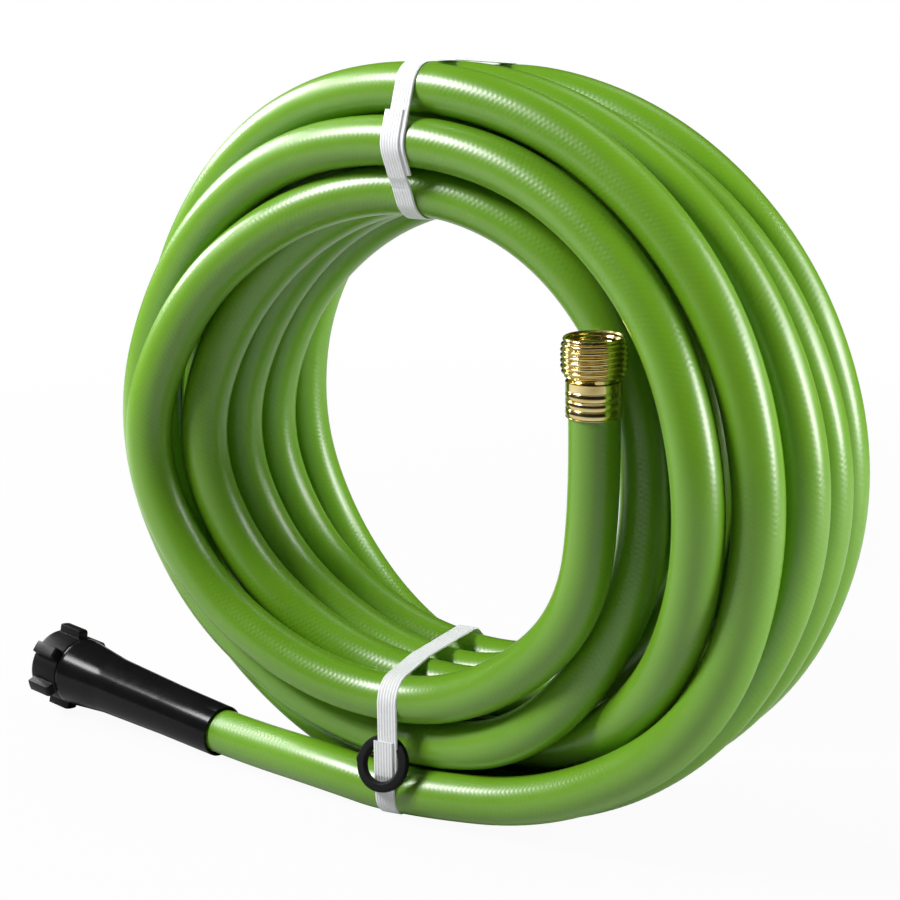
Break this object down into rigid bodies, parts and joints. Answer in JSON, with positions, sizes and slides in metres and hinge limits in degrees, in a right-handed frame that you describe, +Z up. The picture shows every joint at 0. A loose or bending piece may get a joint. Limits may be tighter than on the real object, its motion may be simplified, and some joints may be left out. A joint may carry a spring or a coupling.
{
  "type": "soaker hose",
  "caption": "Coiled garden hose on its rim, with a brass male end, a winged swivel nut behind a tapered sleeve, tie bands and a spare washer.",
  "frame": {"origin": "on the floor, under the middle of the whole product", "axes": "+X to the right and +Z up seen from the front; the coil's axis runs along Y and its front faces -Y"},
  "size_m": [0.4234, 0.131, 0.3337],
  "materials": {
    "hose": "glossy green vinyl over a textile braid that shows as a fine slanted bump",
    "brass": "bright drawn brass",
    "sleeve": "semi-gloss black, moulded",
    "nut": "satin black, moulded",
    "washer": "matt black rubber",
    "band": "white woven strip with fine lengthwise ribs"
  },
  "bodies": {
    "hose": {"hose_coil": "hose", "inlet_lead": "hose", "outlet_lead": "hose", "male_stub": "brass", "male_ferrule": "brass", "inlet_ferrule": "brass", "inlet_tailpiece": "brass", "inlet_sleeve": "sleeve", "coupling_washer": "washer", "top_band": "band", "bottom_band": "band"},
    "nut": {"coupling_nut": "nut"},
    "washer": {"spare_washer": "washer"}
  },
  "joints": [
    {"name": "nut_swivel", "type": "hinge", "parent": "hose", "child": "nut", "pos_m": [-0.19233, -0.01922, 0.0215], "axis": [-0.9923, 0.0898, 0.0852], "continuous": true},
    {"name": "spare_washer_turn", "type": "hinge", "parent": "hose", "child": "washer", "pos_m": [0.02098, -0.04975, 0.0267], "axis": [0.066, -0.9442, 0.3227], "continuous": true}
  ]
}
